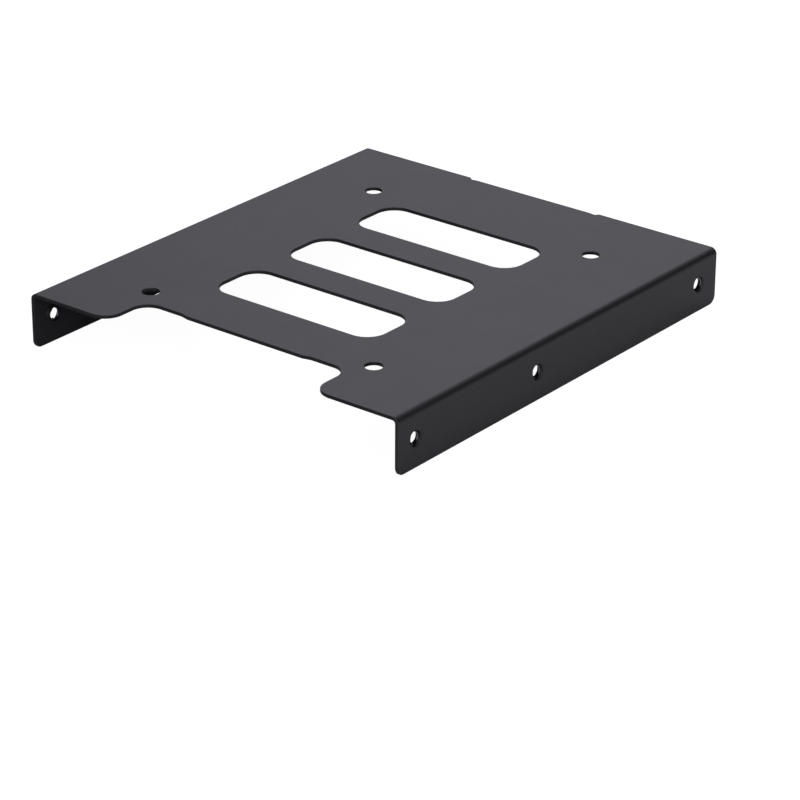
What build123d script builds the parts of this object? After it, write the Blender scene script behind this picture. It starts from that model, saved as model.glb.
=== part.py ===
from build123d import *
import os

# A folded steel bracket that carries a small drive in a larger drive bay.
# Frame: X across the bracket, Y from its notched front edge to its back edge, Z up.
# Origin: the middle of the footprint, on the plane that the flanges' lower edges rest on.
# All sizes are in millimetres.

# Folded sheet
width = 101.0           # over the outer faces of the two flanges
height = 13.1           # lower edge of a flange to the upper face of the plate
sheet = 0.8             # painted sheet
bend = 0.7              # inner radius of the two folds
flange_corner = 2.0     # lower corners of the flanges
edge_break = 0.12       # paint eases every cut edge

# Tapped collars in the flanges, for the bay's screws
bay_pitch = 101.6       # first collar to the last one
bay_middle = 41.3       # first collar to the middle one
bay_front = 5.85        # front edge to the first collar
bay_back = 6.85         # last collar to the back edge
bay_height = 6.6        # lower edge to the collars' axes
thread_root = 3.0       # bore, at the root of the thread
collar_wall = 0.45
collar_rise = 0.55      # collar's height over the flange's inner face
collar_lip = 0.7        # rolled rim of the bore in the outer face
collar_root = 0.2       # eased corner where the collar leaves the flange
collar_tip = 0.1

# Notch in the front edge, with a tab on each side
notch_width = 56.1
notch_depth = 12.1
notch_corner = 4.0      # inner corners
tab_corner = 4.5        # outer corners, on the tabs
nose_width = 33.8       # the middle of the notch's edge stands forward
nose_depth = 0.5
nose_ramp = 2.0
nose_blend = 1.5

# Shallow recess in the back edge, a little deeper at its two ends
recess_width = 36.0
recess_depth = 0.6
recess_ramp = 0.8
recess_blend = 0.35
bite_depth = 0.25
bite_width = 1.9

# Cooling slots across the plate
slot_count = 3
slot_length = 44.5
slot_width = 14.8
slot_corner = 4.7
slot_pitch = 24.0
slot_middle = 0.65      # middle of the row, behind the bracket's middle

# Plain holes for the small drive's screws
drive_pitch_x = 61.72
drive_pitch_y = 76.6
drive_hole = 3.9
drive_middle = -2.05    # middle of the four, in front of the bracket's middle

length = bay_front + bay_pitch + bay_back
front = -length / 2
back = length / 2
fold_outer = bend + sheet
inner_face = width / 2 - sheet
collar_outer = thread_root + 2 * collar_wall
collar_end = inner_face - collar_rise
past = sheet            # cuts run this far past the sheet


def fold_line(inset):
    # one skin of the folded sheet, seen from the front
    half = width / 2 - inset
    top = height - inset
    radius = fold_outer - inset
    left = CenterArc((radius - half, top - radius), radius, 180, -90)
    right = CenterArc((half - radius, top - radius), radius, 90, -90)
    return [Line((-half, 0), left @ 0), left, Line(left @ 1, right @ 0), right, Line(right @ 1, (half, 0))]


def folded_section():
    outer = fold_line(0)
    inner = fold_line(sheet)
    ends = [Line(outer[0] @ 0, inner[0] @ 0), Line(outer[-1] @ 1, inner[-1] @ 1)]
    face = make_face(Curve() + (outer + inner + ends))
    return extrude(Plane.XZ * face, amount=back + past, both=True)


def notch_corners():
    # right half of the notch, from its middle to the front edge: x, y, corner radius
    edge = front + notch_depth
    return [
        ((nose_width - nose_ramp) / 2, edge - nose_depth, nose_blend),
        ((nose_width + nose_ramp) / 2, edge, nose_blend),
        (notch_width / 2, edge, notch_corner),
        (notch_width / 2, front, tab_corner),
    ]


def recess_corners():
    # right half of the recess, from the back edge to its middle: x, y, corner radius
    edge = back - recess_depth
    return [
        ((recess_width + recess_ramp) / 2, back, recess_blend),
        ((recess_width - recess_ramp) / 2, edge - bite_depth, recess_blend),
        (recess_width / 2 - bite_width, edge, recess_blend),
    ]


def plan_outline():
    side = width / 2 + past
    right = [(x, y) for x, y, radius in notch_corners()]
    right += [(side, front), (side, back)]
    right += [(x, y) for x, y, radius in recess_corners()]
    left = [(-x, y) for x, y in reversed(right)]
    return make_face(Polyline(*right, *left, close=True))


def slots():
    shape = RectangleRounded(slot_length, slot_width, slot_corner)
    first = slot_middle - slot_pitch * (slot_count - 1) / 2
    return [Pos(0, first + n * slot_pitch) * shape for n in range(slot_count)]


def drive_holes():
    grid = GridLocations(drive_pitch_x, drive_pitch_y, 2, 2)
    return [Pos(0, drive_middle) * spot * Circle(drive_hole / 2) for spot in grid]


def is_rim(edge):
    # true for an edge between a skin of the sheet and a cut face
    straight = edge.geom_type == GeomType.LINE
    across_sheet = straight and abs(edge.length - sheet) < sheet / 100
    middle = edge.center()
    beside_fold = abs(middle.X) > width / 2 - 1.01 * fold_outer and middle.Z > height - 1.01 * fold_outer
    along_fold = straight and beside_fold and abs(edge.tangent_at(0).Y) > 0.999
    return not across_sheet and not along_fold


def is_at(edge, x, y):
    # true for an edge across the plate that stands at x or at its mirror, -x
    middle = edge.center()
    return abs(abs(middle.X) - x) < 0.001 and abs(middle.Y - y) < 0.001


def punched_sheet():
    plan = plan_outline() - slots() - drive_holes()
    body = folded_section() & extrude(plan, amount=height + past)
    for x, y, radius in notch_corners() + recess_corners():
        upright = body.edges().filter_by(Axis.Z)
        body = fillet([edge for edge in upright if is_at(edge, x, y)], radius)
    lower_ends = body.edges().filter_by(Axis.X).group_by(Axis.Z)[0]
    body = fillet(lower_ends, flange_corner)
    return chamfer(body.edges().filter_by(is_rim), edge_break)


def bay_rows():
    first = front + bay_front
    return [first, first + bay_middle, first + bay_pitch]


def ring_edges(body, radius, x):
    # circles of one radius about the collars' axes, at the distance x from the middle plane
    rings = body.edges().filter_by(GeomType.CIRCLE)
    return [ring for ring in rings if abs(ring.radius - radius) < 0.001 and abs(abs(ring.center().X) - x) < 0.001]


def add_collars(body):
    depth = width / 2 - collar_end
    for side in (-1, 1):
        for y in bay_rows():
            seat = Plane(origin=(side * width / 2, y, bay_height), z_dir=(-side, 0, 0))
            blank = extrude(seat.offset(sheet / 2) * Circle(collar_outer / 2), amount=depth - sheet / 2)
            bore = extrude(seat.offset(-past) * Circle(thread_root / 2), amount=depth + 2 * past)
            body = body + blank - bore
    body = fillet(ring_edges(body, thread_root / 2, width / 2), collar_lip)
    body = chamfer(ring_edges(body, collar_outer / 2, inner_face), collar_root)
    tips = ring_edges(body, collar_outer / 2, collar_end) + ring_edges(body, thread_root / 2, collar_end)
    return chamfer(tips, collar_tip)


def bracket():
    return add_collars(punched_sheet())


os.makedirs("parts", exist_ok=True)
export_step(bracket(), "parts/bracket.step")
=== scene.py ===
import math

import bpy
from mathutils import Matrix, Vector


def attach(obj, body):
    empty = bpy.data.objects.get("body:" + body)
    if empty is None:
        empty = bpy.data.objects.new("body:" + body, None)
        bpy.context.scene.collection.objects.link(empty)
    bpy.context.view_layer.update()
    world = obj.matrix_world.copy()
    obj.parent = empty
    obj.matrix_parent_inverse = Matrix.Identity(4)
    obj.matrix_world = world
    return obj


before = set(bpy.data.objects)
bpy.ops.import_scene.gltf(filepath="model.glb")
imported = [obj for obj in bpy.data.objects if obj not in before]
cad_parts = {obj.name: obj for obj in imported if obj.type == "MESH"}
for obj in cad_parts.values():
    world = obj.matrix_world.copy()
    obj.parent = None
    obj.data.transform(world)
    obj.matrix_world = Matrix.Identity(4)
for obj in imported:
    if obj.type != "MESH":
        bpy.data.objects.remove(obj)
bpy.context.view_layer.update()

print("bracket: frame loaded")


collars = {
    "rows": (-0.0513, -0.0100, 0.0503),      # from front to back
    "axisHeight": 0.0066,
    "outerFace": 0.0505,
    "rootRadius": 0.0015,
}

mixSockets = {"RGBA": (6, 7, 2), "FLOAT": (2, 3, 0)}     # a Mix node's two inputs and its result


# small helpers for node trees

def addNode(tree, kind, place, label="", **settings):
    node = tree.nodes.new(kind)
    node.location = place
    node.label = label
    for name, value in settings.items():
        setattr(node, name, value)
    return node


def feed(socket, value):
    # links another node's output to a socket, or sets the socket's own value
    if isinstance(value, bpy.types.NodeSocket):
        socket.id_data.links.new(value, socket)
    else:
        socket.default_value = value


def setInputs(node, **values):
    # Grain_Size=... feeds the input "Grain Size"
    for name, value in values.items():
        feed(node.inputs[name.replace("_", " ")], value)
    return node


def mathNode(tree, operation, place, *values, clamp=False):
    node = addNode(tree, "ShaderNodeMath", place, operation=operation, use_clamp=clamp)
    for socket, value in zip(node.inputs, values):
        feed(socket, value)
    return node.outputs[0]


def mixNode(tree, kind, place, label, share, first, second):
    # from the first colour or number to the second, by a share
    node = addNode(tree, "ShaderNodeMix", place, label, data_type=kind)
    firstIn, secondIn, result = mixSockets[kind]
    for index, value in ((0, share), (firstIn, first), (secondIn, second)):
        feed(node.inputs[index], value)
    return node.outputs[result]


def rangeNode(tree, place, label, value, fromEnds, toEnds=(0.0, 1.0), ease="SMOOTHSTEP"):
    node = addNode(tree, "ShaderNodeMapRange", place, label, interpolation_type=ease)
    setInputs(node, Value=value, From_Min=fromEnds[0], From_Max=fromEnds[1])
    setInputs(node, To_Min=toEnds[0], To_Max=toEnds[1])
    return node.outputs[0]


def noiseNode(tree, place, label, vector, scale, texture):
    node = addNode(tree, "ShaderNodeTexNoise", place, label)
    setInputs(node, Vector=vector, Scale=scale, **texture)
    return node.outputs[0]


def splitVector(tree, place, vector):
    node = addNode(tree, "ShaderNodeSeparateXYZ", place)
    feed(node.inputs[0], vector)
    return node.outputs


def startGroup(name, kind, inputs, outputs):
    # a socket is its name and kind, and for a number also its usual, least and largest value
    tree = bpy.data.node_groups.new(name, kind)
    for way, sockets in (("INPUT", inputs), ("OUTPUT", outputs)):
        for label, socketKind, *numbers in sockets:
            socket = tree.interface.new_socket(
                name=label, in_out=way, socket_type="NodeSocket" + socketKind)
            for key, number in zip(("default_value", "min_value", "max_value"), numbers):
                setattr(socket, key, number)
    start = addNode(tree, "NodeGroupInput", (-1600, 0))
    end = addNode(tree, "NodeGroupOutput", (1400, 0))
    return tree, start.outputs, end.inputs


def placeGroup(tree, group, place, label, **values):
    node = addNode(tree, "ShaderNodeGroup", place, label, node_tree=group)
    return setInputs(node, **values)


def emptyMaterial(name):
    material = bpy.data.materials.new(name)
    material.use_nodes = True
    material.node_tree.nodes.clear()
    return material, material.node_tree


def addObject(name, data):
    item = bpy.data.objects.new(name, data)
    bpy.context.scene.collection.objects.link(item)
    return item


# effects for the coat and for the bare metal of the threads

coatNoise = {
    "grain": {"Detail": 2.0, "Roughness": 0.55},
    "waves": {"Detail": 1.0, "Roughness": 0.4},
    "mottle": {"Detail": 3.0, "Roughness": 0.6},
    "mottleScale": 0.11,         # times the scale of the waves
    "brokenEdge": {"Detail": 4.0, "Roughness": 0.65},
}


def makeCoatGrain(noise):
    # the skin of sprayed powder: a fine grain over slow, shallow waves
    tree, given, result = startGroup("coatGrain", "ShaderNodeTree", (
        ("Vector", "Vector"),
        ("Grain Size", "Float", 0.00012, 0.00001, 0.01),
        ("Wave Size", "Float", 0.0009, 0.0001, 0.1),
        ("Wave Share", "Float", 0.6, 0.0, 1.0),
    ), (("Height", "Float"), ("Mottle", "Float")))
    grainScale = mathNode(tree, "DIVIDE", (-700, 160), 1.0, given["Grain Size"])
    waveScale = mathNode(tree, "DIVIDE", (-700, -60), 1.0, given["Wave Size"])
    mottleScale = mathNode(tree, "MULTIPLY", (-500, -300), waveScale, noise["mottleScale"])
    place = given["Vector"]
    grain = noiseNode(tree, (-300, 200), "grain", place, grainScale, noise["grain"])
    waves = noiseNode(tree, (-300, -40), "waves", place, waveScale, noise["waves"])
    mottle = noiseNode(tree, (-300, -300), "mottle", place, mottleScale, noise["mottle"])
    waveHeight = mathNode(tree, "MULTIPLY", (0, -40), waves, given["Wave Share"])
    grainShare = mathNode(tree, "SUBTRACT", (0, 100), 1.0, given["Wave Share"])
    grainHeight = mathNode(tree, "MULTIPLY", (200, 160), grain, grainShare)
    feed(result["Height"], mathNode(tree, "ADD", (400, 60), grainHeight, waveHeight))
    feed(result["Mottle"], mottle)
    return tree


def makeEdgeThinning(noise):
    # powder pulls back from sharp edges: 1 where the surface turns between its flat sides,
    # broken up by noise; it places the thinner coat and a painted sheen along the edges
    tree, given, result = startGroup("edgeThinning", "ShaderNodeTree", (
        ("Vector", "Vector"),
        ("Normal", "Vector"),
        ("Turn", "Float", 0.25, 0.0, 1.0),
        ("Break Size", "Float", 0.002, 0.0001, 0.1),
        ("Break Up", "Float", 0.5, 0.0, 1.0),
    ), (("Mask", "Float"),))
    sides = addNode(tree, "ShaderNodeVectorMath", (-800, 100), operation="ABSOLUTE")
    feed(sides.inputs[0], given["Normal"])
    x, y, z = splitVector(tree, (-640, 100), sides.outputs[0])
    widest = mathNode(tree, "MAXIMUM", (-480, 140), x, y)
    widest = mathNode(tree, "MAXIMUM", (-320, 140), widest, z)
    turned = mathNode(tree, "SUBTRACT", (-160, 140), 1.0, widest)
    turned = mathNode(tree, "DIVIDE", (0, 140), turned, given["Turn"], clamp=True)
    breakScale = mathNode(tree, "DIVIDE", (-480, -160), 1.0, given["Break Size"])
    broken = noiseNode(
        tree, (-320, -160), "broken", given["Vector"], breakScale, noise["brokenEdge"])
    loss = mathNode(tree, "MULTIPLY", (0, -100), broken, given["Break Up"])
    kept = mathNode(tree, "SUBTRACT", (160, -60), 1.0, loss)
    feed(result["Mask"], mathNode(tree, "MULTIPLY", (400, 60), turned, kept, clamp=True))
    return tree


def makeDustSpecks():
    # single grains of dust that lie far apart, one to a cell
    tree, given, result = startGroup("dustSpecks", "ShaderNodeTree", (
        ("Vector", "Vector"),
        ("Spacing", "Float", 0.006, 0.0005, 0.1),
        ("Speck Size", "Float", 0.00012, 0.00001, 0.01),
    ), (("Mask", "Float"),))
    scale = mathNode(tree, "DIVIDE", (-700, 80), 1.0, given["Spacing"])
    cells = addNode(tree, "ShaderNodeTexVoronoi", (-500, 60), "one speck a cell")
    setInputs(cells, Vector=given["Vector"], Scale=scale)
    distance = cells.outputs["Distance"]
    away = mathNode(tree, "MULTIPLY", (-300, 60), distance, given["Spacing"])
    near = mathNode(tree, "DIVIDE", (-100, 60), away, given["Speck Size"])
    feed(result["Mask"], mathNode(tree, "SUBTRACT", (100, 60), 1.0, near, clamp=True))
    return tree


def makeTappedBores(values):
    # the tap takes the coat off the bores, and their bare metal is drawn dark as painted shade:
    # 1 within a radius of the nearest collar's axis, which lies along X; the threads use it for
    # their crests
    rows = {f"Row {index + 1}": y for index, y in enumerate(values["rows"])}
    tree, given, result = startGroup("tappedBores", "ShaderNodeTree", (
        ("Vector", "Vector"),
        *((name, "Float", y, -1.0, 1.0) for name, y in rows.items()),
        ("Axis Height", "Float", values["axisHeight"], 0.0, 1.0),
        ("Radius", "Float", 0.0018, 0.0001, 0.01),
        ("Blur", "Float", 0.0001, 0.00001, 0.001),
    ), (("Mask", "Float"),))
    parts = splitVector(tree, (-900, 100), given["Vector"])
    rise = mathNode(tree, "SUBTRACT", (-700, -100), parts["Z"], given["Axis Height"])
    nearest = 1.0                # metres, so further off than any collar
    for index, name in enumerate(rows):
        level = 300 - 160 * index
        run = mathNode(tree, "SUBTRACT", (-700, level), parts["Y"], given[name])
        away = addNode(tree, "ShaderNodeCombineXYZ", (-520, level))
        setInputs(away, Y=run, Z=rise)
        length = addNode(tree, "ShaderNodeVectorMath", (-340, level), operation="LENGTH")
        feed(length.inputs[0], away.outputs[0])
        nearest = mathNode(tree, "MINIMUM", (-160, level), length.outputs["Value"], nearest)
    inside = mathNode(tree, "SUBTRACT", (100, 0), given["Radius"], nearest)
    ramp = mathNode(tree, "DIVIDE", (280, 0), inside, given["Blur"])
    half = 0.5                   # the mask's value at the radius itself
    feed(result["Mask"], mathNode(tree, "ADD", (460, 0), ramp, half, clamp=True))
    return tree


coatGrain = makeCoatGrain(coatNoise)
edgeThinning = makeEdgeThinning(coatNoise)
dustSpecks = makeDustSpecks()
tappedBores = makeTappedBores(collars)
print("bracket: shared effects made")


# the satin black powder coat on the folded sheet

powderCoat = {
    "black": (0.023, 0.0225, 0.0245, 1.0),
    # lighter black on the edges: partly the thinner coat, partly a painted sheen along them
    "edgeBlackAndSheen": (0.042, 0.041, 0.044, 1.0),
    "dust": (0.42, 0.41, 0.40, 1.0),
    "ior": 1.5,
    "mottleTint": 0.05,          # how far the colour wanders
    "mottleEnds": (0.3, 0.7),    # the mottle at its smoothest and at its roughest
    "roughness": 0.37,
    "roughnessWander": 0.012,
    "edgeRoughness": 0.31,
    "grainSize": 0.00014,
    "waveSize": 0.0011,
    "waveShare": 0.65,
    "bumpDepth": 0.000035,
    "edgeTurn": 0.22,
    "edgeBreakUp": 0.6,
    "edgeThinCoatAndSheen": 0.10,
    "speckSpacing": 0.011,
    "speckSize": 0.00016,
    "boreShadeMetal": (0.040, 0.040, 0.041, 1.0),     # painted shade: bare steel where the tap has cut, made dark to stand in for the shade in the holes
    "boreRoughness": 0.32,
    "boreRadius": 0.00174,
    "boreBlur": 0.00010,
}


def scaleColour(colour, share):
    return tuple(channel * share for channel in colour[:3]) + (1.0,)


def makePowderCoat(name, values):
    material, tree = emptyMaterial(name)
    output = addNode(tree, "ShaderNodeOutputMaterial", (900, 0))
    shader = addNode(tree, "ShaderNodeBsdfPrincipled", (600, 0))
    setInputs(shader, IOR=values["ior"])
    setInputs(output, Surface=shader.outputs[0])
    place = addNode(tree, "ShaderNodeTexCoord", (-1100, 0)).outputs

    grain = placeGroup(
        tree, coatGrain, (-800, -250), "coat grain", Vector=place["Object"],
        Grain_Size=values["grainSize"], Wave_Size=values["waveSize"],
        Wave_Share=values["waveShare"]).outputs
    edges = placeGroup(
        tree, edgeThinning, (-800, 100), "edge thinning", Vector=place["Object"],
        Normal=place["Normal"], Turn=values["edgeTurn"],
        Break_Up=values["edgeBreakUp"]).outputs["Mask"]
    dust = placeGroup(
        tree, dustSpecks, (-800, 350), "dust", Vector=place["Object"],
        Spacing=values["speckSpacing"], Speck_Size=values["speckSize"]).outputs["Mask"]
    bores = placeGroup(
        tree, tappedBores, (-800, -500), "tapped bores", Vector=place["Object"],
        Radius=values["boreRadius"], Blur=values["boreBlur"]).outputs["Mask"]

    coated = mathNode(tree, "SUBTRACT", (-600, -500), 1.0, bores)
    edgeThinCoatAndSheen = mathNode(tree, "MULTIPLY", (-600, 260), coated, values["edgeThinCoatAndSheen"])
    edgeShare = mathNode(tree, "MULTIPLY", (-440, 260), edges, edgeThinCoatAndSheen)
    darker = scaleColour(values["black"], 1 - values["mottleTint"])
    lighter = scaleColour(values["black"], 1 + values["mottleTint"])
    colour = mixNode(
        tree, "RGBA", (-400, 100), "mottled black", grain["Mottle"], darker, lighter)
    # painted sheen: the edges' thinner coat is drawn lighter, partly standing in for highlights
    # along them
    colour = mixNode(
        tree, "RGBA", (-150, 100), "thin coat and painted sheen on edges", edgeShare, colour, values["edgeBlackAndSheen"])
    colour = mixNode(tree, "RGBA", (100, 100), "dust", dust, colour, values["dust"])
    # painted shade: the bores turn to dark bare metal, darker than the coat around them
    colour = mixNode(
        tree, "RGBA", (330, 100), "painted shade: dark bare metal in the bores", bores, colour, values["boreShadeMetal"])

    glossEnds = [values["roughness"] + way * values["roughnessWander"] for way in (-1, 1)]
    gloss = rangeNode(
        tree, (-400, -120), "mottled gloss", grain["Mottle"], values["mottleEnds"],
        glossEnds, "LINEAR")
    gloss = mixNode(
        tree, "FLOAT", (-150, -120), "smoother on edges", edgeShare, gloss,
        values["edgeRoughness"])
    gloss = mixNode(
        tree, "FLOAT", (100, -120), "bare bores", bores, gloss, values["boreRoughness"])

    bump = addNode(tree, "ShaderNodeBump", (200, -320), "grain")
    setInputs(bump, Distance=values["bumpDepth"], Height=grain["Height"])
    setInputs(shader, Base_Color=colour, Metallic=bores, Roughness=gloss, Normal=bump.outputs[0])
    return material


blackCoat = makePowderCoat("satinBlackCoat", powderCoat)
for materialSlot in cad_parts["bracket"].material_slots:
    materialSlot.material = blackCoat
print("bracket: coat on the folded sheet")


# the thread cut in the six collars of the flanges

collarThread = {
    "firstTurn": 0.00042,        # outer face to the thread's start
    "ridgeHeight": 0.00028,
    "ridgeFoot": 0.00040,
    "ridgeCrest": 0.00006,
    "sink": 0.00004,             # the ridge's foot goes this far into the collar
    "pitch": 0.0005,
    "turns": 1.45,
    "stepsPerTurn": 56,          # straight pieces in one turn
    "runOut": 0.12,              # share of the thread that tapers at each end
    "endSize": 0.04,             # what the taper leaves of the ridge
    # angle of each thread's start, left side first and from front to back
    "startTurn": (0.2, 3.1, 4.6, 5.2, 5.0, 2.6),
}


def makeThreadTree():
    lengths = ("Root Radius", "Ridge Height", "Ridge Foot", "Ridge Crest", "Sink", "Pitch")
    tree, given, result = startGroup("collarThreads", "GeometryNodeTree", (
        ("Collars", "Geometry"),
        *((name, "Float", 0.0005) for name in lengths),
        ("Turns", "Float", 2.0, 0.1, 20.0),
        ("Run Out", "Float", 0.15, 0.01, 0.5),
        ("End Size", "Float", 0.05, 0.0, 1.0),
        ("Steps Per Turn", "Int", 40, 8, 200),
        ("Finish", "Material"),
    ), (("Threads", "Geometry"),))

    # one helix, started at the origin and climbing along Z
    rise = mathNode(tree, "MULTIPLY", (-1300, 200), given["Pitch"], given["Turns"])
    helix = addNode(tree, "GeometryNodeCurveSpiral", (-1100, 300))
    setInputs(helix, Resolution=given["Steps Per Turn"], Rotations=given["Turns"], Height=rise)
    setInputs(helix, Start_Radius=given["Root Radius"], End_Radius=given["Root Radius"])
    upright = addNode(tree, "GeometryNodeSetCurveNormal", (-900, 300), mode="Z_UP")
    setInputs(upright, Curve=helix.outputs[0])

    # the ridge tapers away at both ends
    along = addNode(tree, "GeometryNodeSplineParameter", (-1300, -50)).outputs["Factor"]
    toEnd = mathNode(tree, "SUBTRACT", (-1100, -50), 1.0, along)
    nearest = mathNode(tree, "MINIMUM", (-940, -50), along, toEnd)
    ramp = mathNode(tree, "DIVIDE", (-780, -50), nearest, given["Run Out"], clamp=True)
    growth = mathNode(tree, "SUBTRACT", (-780, -200), 1.0, given["End Size"])
    taper = mathNode(tree, "MULTIPLY_ADD", (-620, -50), ramp, growth, given["End Size"])
    thinned = addNode(tree, "GeometryNodeSetCurveRadius", (-600, 300))
    setInputs(thinned, Curve=upright.outputs[0], Radius=taper)

    # the ridge's section: a wide foot in the collar's wall and a narrow crest towards its axis
    halfFoot = mathNode(tree, "MULTIPLY", (-1300, -300), given["Ridge Foot"], 0.5)
    halfCrest = mathNode(tree, "MULTIPLY", (-1300, -460), given["Ridge Crest"], 0.5)
    footOut = mathNode(tree, "MULTIPLY", (-1300, -620), given["Sink"], -1.0)
    corners = (
        (footOut, halfFoot, 1.0),
        (footOut, halfFoot, -1.0),
        (given["Ridge Height"], halfCrest, -1.0),
        (given["Ridge Height"], halfCrest, 1.0),
    )
    section = addNode(
        tree, "GeometryNodeCurvePrimitiveQuadrilateral", (-700, -300), mode="POINTS")
    for index, (towardsAxis, half, side) in enumerate(corners):
        level = -300 - 120 * index
        corner = addNode(tree, "ShaderNodeCombineXYZ", (-920, level))
        sideways = mathNode(tree, "MULTIPLY", (-1080, level), half, side)
        setInputs(corner, X=towardsAxis, Y=sideways)
        feed(section.inputs[f"Point {index + 1}"], corner.outputs[0])
    ridge = addNode(tree, "GeometryNodeCurveToMesh", (-350, 200))
    setInputs(
        ridge, Curve=thinned.outputs[0], Profile_Curve=section.outputs[0], Fill_Caps=True)

    # one ridge in each collar, with its end to the inside and its start turned by the
    # collar's own angle
    spot = addNode(tree, "GeometryNodeInputPosition", (-600, -700))
    parts = splitVector(tree, (-440, -700), spot.outputs[0])
    outward = mathNode(tree, "SIGN", (-280, -840), parts["X"])
    inward = mathNode(tree, "MULTIPLY", (-280, -700), outward, -1.0)
    way = addNode(tree, "ShaderNodeCombineXYZ", (-120, -700))
    setInputs(way, X=inward)
    turn = addNode(tree, "FunctionNodeAlignRotationToVector", (60, -600), axis="Z")
    setInputs(turn, Vector=way.outputs[0])
    startAngle = addNode(tree, "GeometryNodeInputNamedAttribute", (-280, -1000))
    setInputs(startAngle, Name="startTurn")
    spin = addNode(tree, "FunctionNodeAxisAngleToRotation", (-100, -1000))
    setInputs(spin, Axis=(0.0, 0.0, 1.0), Angle=startAngle.outputs[0])
    started = addNode(
        tree, "FunctionNodeRotateRotation", (160, -800), rotation_space="LOCAL")
    setInputs(started, Rotation=turn.outputs[0], Rotate_By=spin.outputs[0])
    spread = addNode(tree, "GeometryNodeInstanceOnPoints", (300, 0))
    setInputs(
        spread, Points=given["Collars"], Instance=ridge.outputs[0], Rotation=started.outputs[0])
    solid = addNode(tree, "GeometryNodeRealizeInstances", (600, 0))
    setInputs(solid, Geometry=spread.outputs[0])
    faceted = addNode(tree, "GeometryNodeSetShadeSmooth", (800, 0))
    setInputs(faceted, Geometry=solid.outputs[0], Shade_Smooth=False)
    finish = addNode(tree, "GeometryNodeSetMaterial", (1050, 0))
    setInputs(finish, Geometry=faceted.outputs[0], Material=given["Finish"])
    feed(result["Threads"], finish.outputs[0])
    return tree


def runTree(name, points, pointValues, tree, values):
    # runs a tree on loose points, and gives its result back as a plain mesh object at the origin
    seed = bpy.data.meshes.new(name + "Seed")
    seed.from_pydata(points, [], [])
    for key, numbers in pointValues.items():
        seed.attributes.new(key, "FLOAT", "POINT").data.foreach_set("value", numbers)
    maker = addObject(name + "Maker", seed)
    modifier = maker.modifiers.new(name, "NODES")
    modifier.node_group = tree
    for item in tree.interface.items_tree:
        if item.item_type == "SOCKET" and item.in_out == "INPUT" and item.name in values:
            modifier[item.identifier] = values[item.name]
    graph = bpy.context.evaluated_depsgraph_get()
    graph.update()
    mesh = bpy.data.meshes.new_from_object(maker.evaluated_get(graph))
    maker.modifiers.remove(modifier)
    bpy.data.objects.remove(maker)
    bpy.data.meshes.remove(seed)
    mesh.name = name
    return addObject(name, mesh)


threadMetal = {
    "dark": (0.090, 0.089, 0.092, 1.0),
    "crest": (0.50, 0.49, 0.48, 1.0),        # rubbed bare by the screws
    "crestRadius": 0.00133,
    "crestBlur": 0.00008,
    "roughness": 0.20,
    "cutSize": 0.00008,          # fine tears of the tap
    "cutDepth": 0.000004,
}


def makeThreadMetal(values):
    material, tree = emptyMaterial("tappedThread")
    output = addNode(tree, "ShaderNodeOutputMaterial", (600, 0))
    shader = addNode(tree, "ShaderNodeBsdfPrincipled", (300, 0))
    setInputs(shader, Metallic=1.0, Roughness=values["roughness"])
    setInputs(output, Surface=shader.outputs[0])
    place = addNode(tree, "ShaderNodeTexCoord", (-900, 0)).outputs["Object"]
    crests = placeGroup(
        tree, tappedBores, (-600, 150), "crests", Vector=place,
        Radius=values["crestRadius"], Blur=values["crestBlur"]).outputs["Mask"]
    grain = placeGroup(
        tree, coatGrain, (-600, -150), "cut grain", Vector=place,
        Grain_Size=values["cutSize"]).outputs
    rubbed = mathNode(tree, "MULTIPLY", (-400, 150), crests, grain["Mottle"])
    colour = mixNode(
        tree, "RGBA", (-100, 150), "rubbed crests", rubbed, values["dark"], values["crest"])
    bump = addNode(tree, "ShaderNodeBump", (-100, -250), "tears")
    setInputs(bump, Distance=values["cutDepth"], Height=grain["Height"])
    setInputs(shader, Base_Color=colour, Normal=bump.outputs[0])
    return material


def makeCollarThreads(values, finish):
    start = collars["outerFace"] - values["firstTurn"]
    level = collars["axisHeight"]
    points = [(side * start, y, level) for side in (-1, 1) for y in collars["rows"]]
    pointValues = {"startTurn": values["startTurn"]}
    piece = runTree("collarThreads", points, pointValues, makeThreadTree(), {
        "Root Radius": collars["rootRadius"],
        "Ridge Height": values["ridgeHeight"],
        "Ridge Foot": values["ridgeFoot"],
        "Ridge Crest": values["ridgeCrest"],
        "Sink": values["sink"],
        "Pitch": values["pitch"],
        "Turns": values["turns"],
        "Run Out": values["runOut"],
        "End Size": values["endSize"],
        "Steps Per Turn": values["stepsPerTurn"],
        "Finish": finish,
    })
    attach(piece, "root")
    return piece


collarThreads = makeCollarThreads(collarThread, makeThreadMetal(threadMetal))
print("bracket: threads in the collars,", len(collarThreads.data.polygons), "faces")


# the studio: a plain pale floor, soft lights and the camera

studioFloor = {
    "size": 8.0,
    "below": 0.00002,            # under the flanges' lower edges
    "colour": (0.85, 0.85, 0.85, 1.0),
    "paintedShade": (0.30, 0.30, 0.30, 1.0),     # painted shade: a darker floor colour that only bounced light and reflections see, in front and on the left
    "cardEndX": (0.034, 0.054),  # where the painted shade fades into the floor
    "cardEndY": (-0.062, -0.050),
    "paper": 0.97,               # what the camera sees in full shade
    "shade": (0.25, 0.25, 0.25, 1.0),        # how much of the light it adds to that
}


def pickForCamera(tree, output, others, seen):
    # one shader for the light that bounces, and another for what the camera sees
    ray = addNode(tree, "ShaderNodeLightPath", (0, 300))
    pick = addNode(tree, "ShaderNodeMixShader", (400, 0))
    for index, value in enumerate((ray.outputs["Is Camera Ray"], others, seen)):
        feed(pick.inputs[index], value)
    setInputs(output, Surface=pick.outputs[0])


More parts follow.
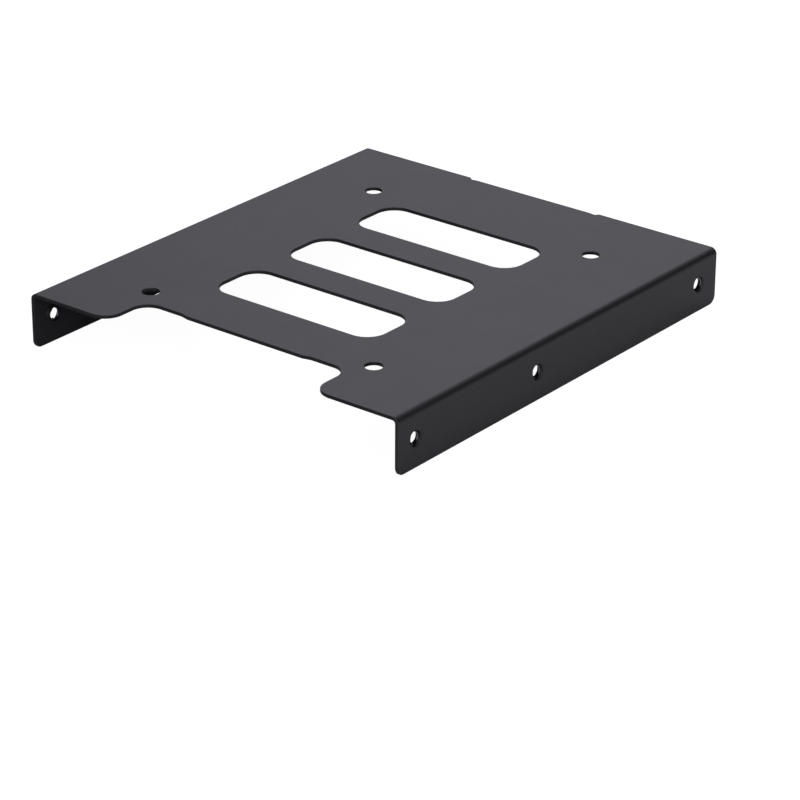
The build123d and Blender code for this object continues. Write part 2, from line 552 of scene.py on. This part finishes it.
def makeStudioPaper(values):
    material, tree = emptyMaterial("studioPaper")
    output = addNode(tree, "ShaderNodeOutputMaterial", (700, 0))
    place = addNode(tree, "ShaderNodeTexCoord", (-1400, 0))
    spot = splitVector(tree, (-1200, 0), place.outputs["Object"])
    beside = 0.0
    for axis, level in (("X", 100), ("Y", -160)):
        fade = rangeNode(
            tree, (-1000, level), "end along " + axis, spot[axis], values["cardEnd" + axis])
        beside = mathNode(tree, "MAXIMUM", (-780, level), fade, beside)
    # painted shade: the floor is darker in front and on the left for all but camera rays
    grey = mixNode(
        tree, "RGBA", (-560, 0), "painted shade on the floor", beside, values["paintedShade"], values["colour"])
    paper = addNode(tree, "ShaderNodeBsdfDiffuse", (-300, 0))
    setInputs(paper, Color=grey)
    glow = addNode(tree, "ShaderNodeEmission", (-300, -150))
    setInputs(glow, Strength=values["paper"])
    shade = addNode(tree, "ShaderNodeBsdfDiffuse", (-300, -300))
    setInputs(shade, Color=values["shade"])
    seen = addNode(tree, "ShaderNodeAddShader", (0, -200))
    for index, part in enumerate((glow, shade)):
        feed(seen.inputs[index], part.outputs[0])
    pickForCamera(tree, output, paper.outputs[0], seen.outputs[0])
    return material


def makeStudioFloor(values):
    half = values["size"] / 2
    level = -values["below"]
    square = ((-half, -half), (half, -half), (half, half), (-half, half))
    corners = [(x, y, level) for x, y in square]
    mesh = bpy.data.meshes.new("studioFloor")
    mesh.from_pydata(corners, [], [(0, 1, 2, 3)])
    mesh.materials.append(makeStudioPaper(values))
    floor = addObject("studioFloor", mesh)


makeStudioFloor(studioFloor)

softLights = {
    "tint": (0.985, 0.97, 1.06),
    "target": (0.0, 0.0, 0.0),
    "lamps": {                   # place, width, height and radiance
        "overheadSoftbox": ((-0.10, -0.05, 1.10), 1.0, 1.0, 0.46),
        "backLeftCard": ((-0.70, 1.16, 1.05), 0.88, 0.8, 0.58),
        "hotSpotCard": ((-0.92, 1.27, 0.76), 0.35, 0.35, 0.20),
        "frontFill": ((0.15, -1.10, 0.36), 1.2, 0.4, 0.40),
        "rightFill": ((1.30, -0.25, 0.38), 0.32, 0.24, 4.20),
    },
}


def addSoftLights(values):
    for name, (place, width, height, radiance) in values["lamps"].items():
        lamp = bpy.data.lights.new(name, "AREA")
        lamp.shape = "RECTANGLE"
        lamp.size = width
        lamp.size_y = height
        lamp.energy = radiance * math.pi * width * height    # watts
        lamp.color = values["tint"]
        light = addObject(name, lamp)
        away = Vector(place) - Vector(values["target"])
        turn = away.to_track_quat("Z", "Y").to_matrix().to_4x4()
        light.matrix_world = Matrix.Translation(place) @ turn
        light.visible_camera = False


addSoftLights(softLights)

surround = {
    "soft": (0.480, 0.472, 0.522, 1.0),
    "backdrop": (1.0, 1.0, 1.0, 1.0),        # what the camera sees
    "flag": (0.0, 0.0, 0.0, 1.0),
    # two black flags, low behind the right-hand side and high over the front left: the way
    # to each, and the cosines of the angles from it where the light starts to fade and is gone
    "flags": (
        ((0.65, 0.72, 0.12), (0.60, 0.88)),
        ((-0.56, -0.45, 0.70), (0.74, 0.93)),
    ),
}


def makeSurround(values):
    world = bpy.data.worlds.new("studioSurround")
    bpy.context.scene.world = world
    world.use_nodes = True
    tree = world.node_tree
    tree.nodes.clear()
    output = addNode(tree, "ShaderNodeOutputWorld", (700, 0))
    place = addNode(tree, "ShaderNodeTexCoord", (-1000, 0))
    darkest = 0.0
    for index, (towards, fade) in enumerate(values["flags"]):
        level = -260 * index
        facing = addNode(tree, "ShaderNodeVectorMath", (-800, level), operation="DOT_PRODUCT")
        feed(facing.inputs[0], place.outputs["Generated"])
        feed(facing.inputs[1], Vector(towards).normalized())
        dark = rangeNode(tree, (-620, level), "soft edge", facing.outputs["Value"], fade)
        darkest = mathNode(tree, "MAXIMUM", (-440, level), dark, darkest)
    around = mixNode(
        tree, "RGBA", (-260, 0), "black flags", darkest, values["soft"], values["flag"])
    soft = addNode(tree, "ShaderNodeBackground", (0, 0))
    setInputs(soft, Color=around)
    white = addNode(tree, "ShaderNodeBackground", (0, -200))
    setInputs(white, Color=values["backdrop"])
    pickForCamera(tree, output, soft.outputs[0], white.outputs[0])


makeSurround(surround)

photoCamera = {
    "place": (0.42415, -0.52934, 0.29797),       # fitted to the bracket's edges and holes
    "right": (0.78338, 0.62153, 0.00421),
    "up": (-0.26563, 0.32865, 0.90633),
    "lens": 151.08,
    "sensor": 36.0,              # millimetres, as the lens
    "nearest": 0.01,
    "furthest": 20.0,
}


def addCamera(values):
    lens = bpy.data.cameras.new("photoCamera")
    lens.lens = values["lens"]
    lens.sensor_width = values["sensor"]
    lens.clip_start = values["nearest"]
    lens.clip_end = values["furthest"]
    camera = addObject("photoCamera", lens)
    right = Vector(values["right"]).normalized()
    back = right.cross(Vector(values["up"])).normalized()
    up = back.cross(right)
    turn = Matrix((right, up, back)).transposed().to_4x4()
    camera.matrix_world = Matrix.Translation(values["place"]) @ turn
    bpy.context.scene.camera = camera


addCamera(photoCamera)
bpy.context.scene.view_settings.view_transform = "Standard"
print("bracket: studio ready")
